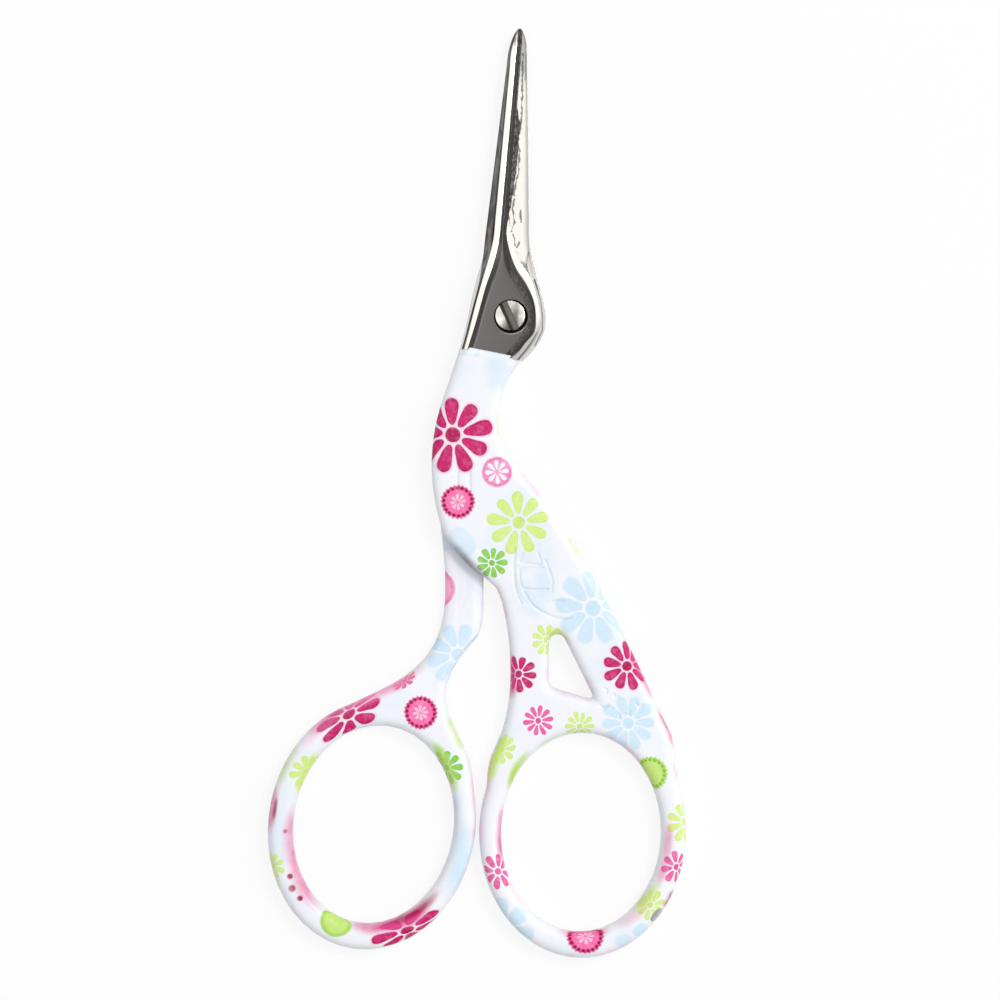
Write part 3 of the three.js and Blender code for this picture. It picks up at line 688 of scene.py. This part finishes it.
class Value:
    """What a node gives, to reckon with like a number."""

    def __init__(self, socket):
        self.socket, self.tree = socket, socket.id_data

    def __abs__(self):
        return reckon("ABSOLUTE", self)

    __add__, __mul__, __pow__ = by_sign("ADD"), by_sign("MULTIPLY"), by_sign("POWER")
    __sub__, __rsub__ = by_sign("SUBTRACT"), by_sign("SUBTRACT", turned=True)
    __truediv__, __rtruediv__ = by_sign("DIVIDE"), by_sign("DIVIDE", turned=True)
    __mod__, __gt__, __lt__ = by_sign("FLOORED_MODULO"), by_sign("GREATER_THAN"), by_sign("LESS_THAN")


def add(tree, kind, **settings):
    node = tree.nodes.new("ShaderNode" + kind)
    for setting, value in settings.items():
        setattr(node, setting, value)
    return node


def feed(socket, value):
    if isinstance(value, Value):
        value.tree.links.new(value.socket, socket)
    else:
        socket.default_value = value


def feed_all(node, values):
    for label, value in values.items():
        feed(node.inputs[label], value)


def outputs_of(node):
    return {socket.name: Value(socket) for socket in node.outputs}


def step(kind, *values, output=0, **settings):
    """Output of a new node whose inputs are fed in order."""
    tree = next(value.tree for value in values if isinstance(value, Value))
    node = add(tree, kind, **settings)
    for socket, value in zip(node.inputs, values):
        feed(socket, value)
    return Value(node.outputs[output])


def reckon(operation, *values):
    return step("Math", *values, operation=operation)


def aim(operation, *values):
    output = "Value" if operation in ("LENGTH", "DOT_PRODUCT") else "Vector"
    return step("VectorMath", *values, output=output, operation=operation)


def most(*values):
    return reduce(by_sign("MAXIMUM"), values)


def least(*values):
    return reduce(by_sign("MINIMUM"), values)


def parts(vector):
    node = add(vector.tree, "SeparateXYZ")
    feed(node.inputs[0], vector)
    return [Value(socket) for socket in node.outputs]


def facing(place):
    return Value(add(place.tree, "TexCoord").outputs["Normal"])


def level(place):
    """From 0 on an upright wall to 1 on a level face."""
    return abs(parts(facing(place))[2])


def painted(place, label):
    return Value(add(place.tree, "Attribute", attribute_name=label).outputs["Fac"])


def fade(value, start, end, low=0, high=1):
    """Smooth step of a value from start to end, rising or falling."""
    return step("MapRange", value, start, end, low, high, interpolation_type="SMOOTHSTEP")


def flecks(value, *levels):
    """Draws the middle range of a noise apart."""
    return fade(value, 0.35, 0.65, *levels)


def fade_mm(value, start, end, *levels):
    return fade(value, start * MM, end * MM, *levels)


def blend(share, under, over):
    node = add(share.tree, "Mix", data_type="RGBA")
    feed_all(node, {"Factor": share, "A": under, "B": over})
    return Value(node.outputs["Result"])


def noise(place, scale, detail=2, output=0):
    node = add(place.tree, "TexNoise")
    feed_all(node, {"Vector": place, "Scale": scale, "Detail": detail})
    return Value(node.outputs[output])


def ripple(place, scale, reach):
    """Small uneven shift, so that drawn edges aren't ruled."""
    centred = aim("SUBTRACT", noise(place, scale, output="Color"), (0.5, 0.5, 0.5))
    return aim("MULTIPLY", centred, (reach * MM,) * 3)


def use(effect, **settings):
    node = add(settings["Place"].tree, "Group", node_tree=effect)
    feed_all(node, settings)
    return outputs_of(node)


def new_effect(name, vectors, floats, gives, given="Float"):
    """Shared effect, what it takes, and the node that gathers what it gives."""
    tree = bpy.data.node_groups.new(name, "ShaderNodeTree")
    sockets = [("INPUT", "Vector", vectors), ("INPUT", "Float", floats), ("OUTPUT", given, gives)]
    for side, kind, labels in sockets:
        for label in labels:
            tree.interface.new_socket(label, in_out=side, socket_type="NodeSocket" + kind)
    return tree, outputs_of(tree.nodes.new("NodeGroupInput")), tree.nodes.new("NodeGroupOutput")


def new_finish(name):
    """Material, its surface, and the place on the piece."""
    material = bpy.data.materials.new(name)
    material.use_nodes = True
    tree = material.node_tree
    return material, tree.nodes["Principled BSDF"], Value(add(tree, "TexCoord").outputs["Object"])


def bump(height, strength, distance):
    node = add(height.tree, "Bump")
    feed_all(node, {"Strength": strength, "Distance": distance * MM, "Height": height})
    return Value(node.outputs["Normal"])


MOTIF = ("Place", "Centre", "Lie", "Size")


def polar(takes, turn):
    """Distance from a motif's centre in radii, and the direction."""
    spot = step("Mapping", *(takes[label] for label in MOTIF), vector_type="TEXTURE")
    flat = aim("MULTIPLY", spot, (1, 1, 0))
    x, y, _ = parts(flat)
    return aim("LENGTH", flat), reckon("ARCTAN2", y, x) + turn


def sector(reach, heading, count):
    """Place along and across the middle line of the nearest of equal sectors, and the sector's width."""
    width = math.tau / count
    lean = heading % width - width / 2
    return reach * reckon("COSINE", lean), reach * reckon("SINE", lean), width


def petal_form(along, across, width, inner, fullness, blunt=0):
    """Below 1 inside a petal from the inner radius to 1, with a pointed or a blunt foot."""
    out = (along - (1 + inner) / 2) / ((1 - inner) / 2)
    length = abs(out) ** ((out < 0) * (3.2 * blunt) + 2.6)
    aside = across / ((along * (1 - 0.2 * blunt) + 0.11 * blunt) * width * fullness)
    return length + aside * aside


def daisy_effect():
    daisy, takes, gives = new_effect(
        "daisy", MOTIF, ("Petals", "Turn", "Softness", "Fullness"), ("Mask", "Rim", "Halo")
    )
    petals, softness = takes["Petals"], takes["Softness"]
    reach, heading = polar(takes, takes["Turn"])
    number = reckon("FLOOR", heading / (math.tau / petals)) % petals
    chance = add(daisy, "TexWhiteNoise", noise_dimensions="4D")
    feed_all(chance, {"Vector": takes["Centre"], "W": number})
    length = fade(Value(chance.outputs["Value"]), 0, 1, 1.1, 0.98)
    form = petal_form(*sector(reach * length, heading, petals), 0.27, takes["Fullness"], blunt=1)
    feed_all(gives, {
        "Mask": most(fade(form, softness + 1, 1 - softness), fade(reach, 0.21, 0.17)),
        "Rim": fade(form, 0.4, 0.95),
        "Halo": most(fade(form, 1.7, 1), fade(reach, 0.8, 0.4, 0, 0.6)),
    })
    return daisy


def roundel_effect():
    roundel, takes, gives = new_effect("roundel", MOTIF, ("Dots",), ("Disc", "Brim", "Dots", "Star"))
    dots = takes["Dots"]
    dotted = dots > 1
    reach, heading = polar(takes, 0.3)
    fringe = reckon("COSINE", heading * 24) * (dotted * 0.035) + 0.97
    along, across, _ = sector(reach, heading, most(dots, 1))
    out = along - 0.8
    away = reckon("SQRT", out * out + across * across)
    along, across, width = sector(reach, heading, 8)
    tip = (dots < 1) * -0.9 + 2.2
    star = petal_form(along * tip, across * tip, width, 0.1, 0.34)
    feed_all(gives, {
        "Disc": fade(reach / fringe, 1.06, 0.92),
        "Brim": fade(reach, 0.62, 0.85),
        "Dots": fade(away, 0.12, 0.06) * dotted,
        "Star": fade(star, 1.2, 0.75),
    })
    return roundel


def stroke_effect():
    """Distance on the flat from a stroke between two places."""
    stroke, takes, gives = new_effect("stroke", ("Place", "Start", "End"), (), ("Away",))
    run = aim("SUBTRACT", takes["End"], takes["Start"])
    out = aim("MULTIPLY", aim("SUBTRACT", takes["Place"], takes["Start"]), (1, 1, 0))
    share = aim("DOT_PRODUCT", out, run) / aim("DOT_PRODUCT", run, run)
    nearest = aim("MULTIPLY", run, least(most(share, 0), 1))
    feed_all(gives, {"Away": aim("LENGTH", aim("SUBTRACT", out, nearest))})
    return stroke


def film_effect():
    """Ground of the printed film: cool white, with inks drawn out into smears down the sides."""
    film, takes, gives = new_effect("printed film", ("Place",), (), ("Ground",), "Color")
    place = takes["Place"]
    ground = blend(fade(noise(place, 130), 0.5, 0.7, 0, 0.5), WHITE, shade(222, 236, 249))
    drawn = aim("MULTIPLY", place, (1, 1, 0.15))
    ramp = add(film, "ValToRGB")
    bands = [
        (0.32, INKS["lime"]), (0.38, WHITE), (0.58, WHITE), (0.64, BLUSH), (0.7, WHITE), (0.76, INKS["sky"]),
    ]
    while len(ramp.color_ramp.elements) < len(bands):
        ramp.color_ramp.elements.new(0.5)
    for stop, (position, colour) in zip(ramp.color_ramp.elements, bands):
        stop.position = position
        stop.color = colour
    feed(ramp.inputs[0], noise(drawn, 95, 1))
    streak = fade(level(place), 0.98, 0.6) * fade(noise(drawn, 420, 3), 0.3, 0.6, 0.12, 0.5)
    feed_all(gives, {"Ground": blend(streak, ground, Value(ramp.outputs[0]))})
    return film


def lacquer_effect():
    """Slight orange peel of the clear lacquer."""
    lacquer, takes, gives = new_effect("clear lacquer", ("Place",), (), ("Height", "Roughness"))
    place = takes["Place"]
    rough = fade(noise(place, 260, 3), 0.3, 0.7, 0.2, 0.32)
    feed_all(gives, {"Height": noise(place, 900), "Roughness": rough})
    return lacquer


def grain_effect():
    """Fine scratches and cloudy polish of bare steel."""
    grain, takes, gives = new_effect("steel grain", ("Place", "Draw"), (), ("Scratches", "Clouds"))
    scratches = noise(aim("MULTIPLY", takes["Place"], takes["Draw"]), 1, 3)
    feed_all(gives, {"Scratches": scratches, "Clouds": noise(takes["Place"], 420, 3)})
    return grain


def motif(x, y, size, squeeze=1, lie=0):
    return {
        "Centre": (x * MM, y * MM, 0),
        "Size": (size * MM, size * squeeze * MM, 1),
        "Lie": (0, 0, math.radians(lie)),
    }


def unwrapped(place, neck_top):
    """Place on the flat film before it was wrapped over the edges, and the depth under the upper face."""
    _, y, z = parts(place)
    top = fade_mm(y, NECK_END_Y, RING_START_Y, neck_top * MM, RING_TOP * MM)
    depth = most(top - z, 0)
    return aim("ADD", place, aim("MULTIPLY", facing(place), depth)), depth


def bare_chip(place, uneven):
    """Long spot on the right ring where the steel shows."""
    x, y, half_width, turn = CHIP
    spot = step(
        "Mapping", aim("ADD", place, uneven), (x * MM, y * MM, 0), (0, 0, math.radians(turn)),
        vector_type="TEXTURE",
    )
    away = aim("LENGTH", aim("MULTIPLY", spot, (0.45, 1, 0)))
    return fade_mm(away, 1.1 * half_width, 0.9 * half_width) * fade_mm(parts(place)[2], 1, 1.3)


def printed_coat(name, daisies, roundels, smears, neck_top, chipped=False):
    material, surface, place = new_finish(name)
    uneven = ripple(place, 700, 0.22)
    flat, depth = unwrapped(place, neck_top)
    drawn = aim("ADD", flat, uneven)
    colour = use(FILM, Place=place)["Ground"]
    streaks = fade(noise(place, 500, 3), 0.3, 0.7, 0.65, 1) * fade_mm(depth, 0.8, 3, 1, 0.4)
    wear_and_painted_light = fade(noise(place, 1600, 3), 0.3, 0.55, 0.88, 1)
    mottle = fade(noise(place, 2400, 3), 0.3, 0.6)
    for ink, flowers in daisies.items():
        heart, softness, fullness = PETALS[ink]
        blooms = [
            use(
                DAISY, Place=drawn, Petals=petals, Turn=math.radians(turn), Softness=softness,
                Fullness=fullness, **motif(x, y, size, *drawn_out),
            )
            for x, y, size, petals, turn, *drawn_out in flowers
        ]
        masks, rims, halos = ([bloom[label] for bloom in blooms] for label in ("Mask", "Rim", "Halo"))
        if ink == "magenta":
            colour = blend(most(*halos) * 0.7, colour, BLUSH)
        tone = blend(mottle * 0.5 + least(*rims) * 0.5, heart, INKS[ink])
        colour = blend(most(*masks) * wear_and_painted_light, colour, tone)
    # Smears of ink along the edges, and on the front handle the painted lap shade
    for ink in smears:
        colour = blend(painted(place, ink + " smear") * streaks, colour, INKS[ink])
    for kind, discs in roundels.items():
        ground, brim, dot, white = ROUNDEL_INKS[kind]
        for x, y, size, dots in discs:
            disc = use(ROUNDEL, Place=drawn, Dots=dots, **motif(x, y, size))
            face = blend(disc["Brim"], ground, brim)
            face = blend(disc["Star"] * white, face, WHITE)
            colour = blend(disc["Disc"] * wear_and_painted_light, colour, face)
            colour = blend(disc["Dots"], colour, dot)
    # Bluish grey in the pressed feather grooves: painted shade, and dirt
    colour = blend(painted(place, "groove") * 0.16, colour, shade(186, 192, 204))
    if chipped:
        bare = bare_chip(place, uneven)
        colour = blend(bare, colour, shade(192, 191, 187))
        feed_all(surface, {"Metallic": bare * 0.5})
    lacquer = use(LACQUER, Place=place)
    feed_all(surface, {
        "Base Color": colour, "Roughness": lacquer["Roughness"], "Specular IOR Level": 0.15,
        "Coat Weight": 0.12, "Coat Roughness": 0.08, "Normal": bump(lacquer["Height"], 0.06, 0.05),
    })
    return material


def nearest_stroke(place, lines):
    """Distance from the nearest stroke of some lines in millimetres."""
    ends = [[(x * MM, y * MM, 0) for x, y in pair] for line in lines for pair in zip(line, line[1:])]
    return least(*(use(STROKE, Place=place, Start=start, End=end)["Away"] for start, end in ends))


def beak_steel():
    material, surface, place = new_finish("polished beak steel")
    x, y, z = parts(place)

    def along(start, end, *levels):
        return fade_mm(y, start, end, *levels)

    def across(lean, start):
        return y * lean + start * MM

    scratches, clouds = use(GRAIN, Place=place, Draw=(2600, 420, 2600)).values()
    hollow, slope = fade(painted(place, "hollow"), 0.04, 0.3), painted(place, "slope")
    on_top, on_right = z > UPPER_HEIGHT, x > 0
    from_bevel, past_rim, from_ridge, from_middle, from_foot = (
        x - across(*line) for line in (BEVEL_LINE, GROOVE_RIM, HEAD_RIDGE, SLOPE_MIDDLE, POCKET_FOOT)
    )

    # Painted shadow line at the foot of the front half, and forging marks on the bevel
    seam_shadow = fade_mm(nearest_stroke(place, [SEAM_SHADOW_LINE]), 0.14, 0.06) * along(1.5, 4, 0.6, 0.95)
    uneven_place = aim("ADD", place, ripple(place, 1500, 0.3))
    thick = flecks(noise(place, 1400), 0.05 * MM, 0.2 * MM)
    mark = fade(nearest_stroke(uneven_place, FORGING_MARKS) / thick, 1.1, 0.5)

    # Ragged band beside the groove that the grinding left out
    swell = along(13, 19.5, 0.08 * MM, 0.6 * MM) - along(23, 26, 0, 0.55 * MM)
    ragged = noise(aim("MULTIPLY", place, (1, 0.45, 1)), 1300, 4) - 0.5
    reach = ragged * along(22, 27, 0.9 * MM, 0.2 * MM) + swell
    unground = fade_mm(from_bevel - reach, 0.05, -0.05) * fade_mm(past_rim, -0.02, 0.03)
    unground = unground * on_top * along(10.5, 12)
    speckled = blend(flecks(noise(place, 2600, 3)), shade(50, 48, 47), shade(100, 96, 94))

    # Slope left of the ridge, duller, streaked and in painted shade as it faces left; then the dull floor of
    # the eye pocket and the groove, and their walls in painted shade
    streaky = blend(flecks(scratches), shade(88, 87, 87), shade(134, 132, 131))
    aside = abs(from_middle) / across(*SLOPE_WIDTH)
    streaky = blend(fade(aside, 0.4, 0.9), streaky, shade(62, 60, 60))
    # Walls in painted shade: the right one lighter than the left, darker towards the rim, lighter along the
    # groove, and darker than the dull floor as they steepen
    right_wall_shade = blend(flecks(noise(place, 3000, 3)), shade(118, 113, 111), shade(168, 162, 158))
    right_wall_shade = blend(fade_mm(z, 3.4, 4), right_wall_shade, shade(92, 88, 86))
    wall_shade = blend(on_right, shade(90, 86, 85), right_wall_shade)
    wall_shade = blend(along(5, 10), wall_shade, shade(130, 126, 123))
    dull_floor_and_wall_shade = blend(fade(level(place), 0.97, 0.86), shade(102, 97, 97), wall_shade)
    dull_floor_and_wall_shade = blend(clouds * 0.3, dull_floor_and_wall_shade, shade(92, 88, 87))

    # Glint on the seat's lower right edge
    off_seat = aim("SUBTRACT", place, (SEAT_X * MM, SEAT_Y * MM, 0))
    off_brim = aim("LENGTH", aim("MULTIPLY", off_seat, (1, 1, 0))) - SEAT_BRIM_RADIUS * MM
    lower_right = fade_mm(aim("DOT_PRODUCT", off_seat, (0.7, -0.7, 0)), 0.2, 1.6, 0, 0.8)
    glint = fade_mm(abs(off_brim), 0.11, 0.05) * lower_right

    # Polish under its layers: greyer towards the tip, the bevel's brim, the brushed part behind the eye, the
    # faces between the halves, the painted shadow at the front half's foot, the head's left facet and ridge,
    # then the marks, the slope and the hollows with painted shade on the slope and the walls, a painted
    # highlight at the pocket's foot, the glint, and the pit painted black as shade
    colour = blend(clouds, shade(230, 226, 219), shade(242, 238, 231))
    on_head = on_top * along(10, 7)
    for share, tone in (
        (along(27, 32, 0, 0.85) * fade_mm(past_rim, 0, 0.1), shade(160, 159, 157)),
        (painted(place, "brim") * 0.85, shade(166, 164, 162)),
        (along(0.5, -3.8, 0, 0.95) * on_right, shade(174, 171, 168)),
        (reckon("COMPARE", z, 1.7 * MM, 0.08 * MM), shade(196, 194, 191)),
        # Painted shadow at the foot of the front half
        (seam_shadow * (z > SEAM_SHADOW_HEIGHT), shade(76, 73, 71)),
        (fade_mm(from_ridge, 0.02, -0.06) * on_head, shade(212, 210, 208)),
        (fade_mm(abs(from_ridge), 0.17, 0.1) * on_head * 0.95, shade(58, 55, 54)),
        (mark * on_top * 0.8, shade(92, 86, 81)),
        (unground, speckled),
        # The slope left of the ridge: streaks, duller, and painted shade as it faces left
        (slope, streaky),
        # Dull floor of the hollows, and painted shade on their walls
        (hollow, dull_floor_and_wall_shade),
        # Painted highlight along the foot of the pocket's left wall
        (fade_mm(abs(from_foot), 0.16, 0.05) * hollow * along(6, 4, 0, 0.55), shade(128, 122, 120)),
        (glint * hollow, shade(150, 144, 140)),
        # The seat's pit round the screw head, painted black as shade
        (painted(place, "pit"), shade(26, 25, 25)),
    ):
        colour = blend(share, colour, tone)

    gloss = fade(scratches, 0.3, 0.7, 0.07, 0.16)
    forged = fade_mm(abs(from_bevel), 1.1, 0.3) * along(8, 12) * on_top
    wavy = noise(place, 800) * fade(forged, 0.1, 0.8, 0.1, 1)
    feed_all(surface, {
        "Base Color": colour, "Metallic": 1,
        "Roughness": most(gloss, hollow * 0.5, slope * 0.3, unground * 0.5),
        "Normal": bump(scratches * 0.03 + wavy, 0.35, 0.15),
    })
    return material


def screw_steel():
    material, surface, place = new_finish("brushed screw steel")
    scratches, clouds = use(GRAIN, Place=place, Draw=(5200, 900, 2600)).values()
    # Painted light on the head: lighter to the upper left, darker towards the slot's lower right, and a
    # painted highlight on the right rim, between lit and shaded copies of the steel
    wear_and_painted_light = fade_mm(aim("DOT_PRODUCT", place, (0.85, -0.5, 0)), -0.7, 0.6)
    wear_and_painted_light = wear_and_painted_light * fade_mm(parts(place)[0], 0.75, 1.2, 1, 0.45)
    light = blend(wear_and_painted_light, shade(244, 240, 234), shade(160, 155, 151))
    dark = blend(wear_and_painted_light, shade(190, 186, 181), shade(96, 92, 89))
    colour = blend(flecks(clouds), dark, light)
    aside = aim("DOT_PRODUCT", place, tuple(SLOT_ACROSS)) - SLOT_OFFSET * MM
    slot_floor = blend(scratches, shade(84, 80, 77), shade(124, 119, 115))
    # Painted shade: the slot's floor darkest along its left side
    slot_floor = blend(fade_mm(aside, 0.05, 0.35), slot_floor, shade(50, 47, 46))
    # Painted shade along the slot's left edge, over the highlight of its bevel
    dark_edge = fade_mm(abs(aside - (SLOT_WIDTH / 2 + 0.07) * MM), 0.12, 0.08)
    feed_all(surface, {
        "Base Color": blend(most(painted(place, "hollow"), dark_edge), colour, slot_floor),
        "Metallic": 1, "Roughness": fade(scratches, 0.3, 0.7, 0.22, 0.42),
        "Normal": bump(scratches, 0.2, 0.03),
    })
    return material


DAISY, ROUNDEL, STROKE = daisy_effect(), roundel_effect(), stroke_effect()
FILM, LACQUER, GRAIN = film_effect(), lacquer_effect(), grain_effect()

front_coat = printed_coat(
    "printed coat of the front handle", FRONT_DAISIES, FRONT_ROUNDELS, FRONT_SMEARS, FRONT_NECK_TOP,
    chipped=True,
)
rear_coat = printed_coat(
    "printed coat of the rear handle", REAR_DAISIES, REAR_ROUNDELS, REAR_SMEARS, REAR_NECK_TOP
)
beak_finish = beak_steel()
screw_finish = screw_steel()


# Pieces

front_beak = make_beak("front_beak", FRONT_SECTIONS, FRONT_MOUTH, FRONT_FACE_Z, FRONT_HEIGHT)
rear_beak = make_beak("rear_beak", REAR_SECTIONS, REAR_MOUTH, REAR_FACE_Z, REAR_HEIGHT)
front_handle = make_handle("front_handle_coat", "front_handle", FRONT_VOXEL)
press_feathers(front_handle)
paint_smears(front_handle, FRONT_SMEARS)
rear_handle = make_handle("rear_handle_coat", "rear_handle", REAR_VOXEL)
paint_smears(rear_handle, REAR_SMEARS)
eye_screw = make_screw()

for piece, node, body, slot, finish in (
    (front_beak, "front_half", "front", "blade_steel", beak_finish),
    (front_handle, "front_handle_coat", "front", "handle_coat", front_coat),
    (rear_beak, "rear_half", "rear", "blade_steel", beak_finish),
    (rear_handle, "rear_handle_coat", "rear", "handle_coat", rear_coat),
    (eye_screw, "pivot_screw", "rear", "screw_steel", screw_finish),
):
    piece.data.materials.clear()
    piece.data.materials.append(finish)
    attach(piece, body)
    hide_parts(node)


# Stage, light and camera


def make_floor():
    """White ground that the camera and reflections see brighter than its lit surface."""
    bpy.ops.mesh.primitive_plane_add(size=8, location=(0, 0, -0.05 * MM))
    floor = name_new("floor")
    material, surface, place = new_finish("white floor")
    feed_all(surface, {"Base Color": (0.9, 0.9, 0.9, 1), "Roughness": 0.9, "Specular IOR Level": 0})
    glow = Value(add(place.tree, "Emission").outputs[0])
    path = outputs_of(add(place.tree, "LightPath"))
    seen = most(path["Is Camera Ray"], path["Is Glossy Ray"])
    lifted = step("MixShader", seen * 0.85, Value(surface.outputs[0]), glow)
    feed(place.tree.nodes["Material Output"].inputs["Surface"], lifted)
    floor.data.materials.append(material)


def softbox(name, place, target, size, brightness):
    """Square lamp whose face has a given brightness."""
    light = bpy.data.lights.new(name, "AREA")
    light.size = size
    light.energy = brightness * math.pi * size * size
    lamp = bpy.data.objects.new(name, light)
    lamp.location = place
    lamp.rotation_euler = (Vector(target) - Vector(place)).to_track_quat("-Z", "Y").to_euler()
    scene.collection.objects.link(lamp)


def light_studio():
    softbox("overhead softbox", (-0.03, -0.06, 0.95), (0, -0.02, 0), 1, 0.86)
    softbox("key softbox", (0.38, 0.27, 0.8), (0, -0.02, 0), 0.24, 16.4)
    softbox("right softbox", (0.62, 0.1, 0.42), (0, -0.01, 0), 0.85, 0.78)
    world = bpy.data.worlds.new("studio")
    world.use_nodes = True
    world.node_tree.nodes["Background"].inputs["Color"].default_value = (0.39, 0.39, 0.39, 1)
    scene.world = world


def place_camera():
    """Straight above, with the picture 122.32 mm wide at the height of the upper faces."""
    width, height = 122.32 * MM, 3 * MM
    camera = bpy.data.cameras.new("camera")
    camera.lens = 135
    camera.clip_start = 0.01
    stand = bpy.data.objects.new("camera", camera)
    stand.location = (-1.25 * MM, -22.56 * MM, height + width * camera.lens / camera.sensor_width)
    scene.collection.objects.link(stand)
    scene.camera = stand


make_floor()
light_studio()
place_camera()
scene.view_settings.view_transform = "Standard"
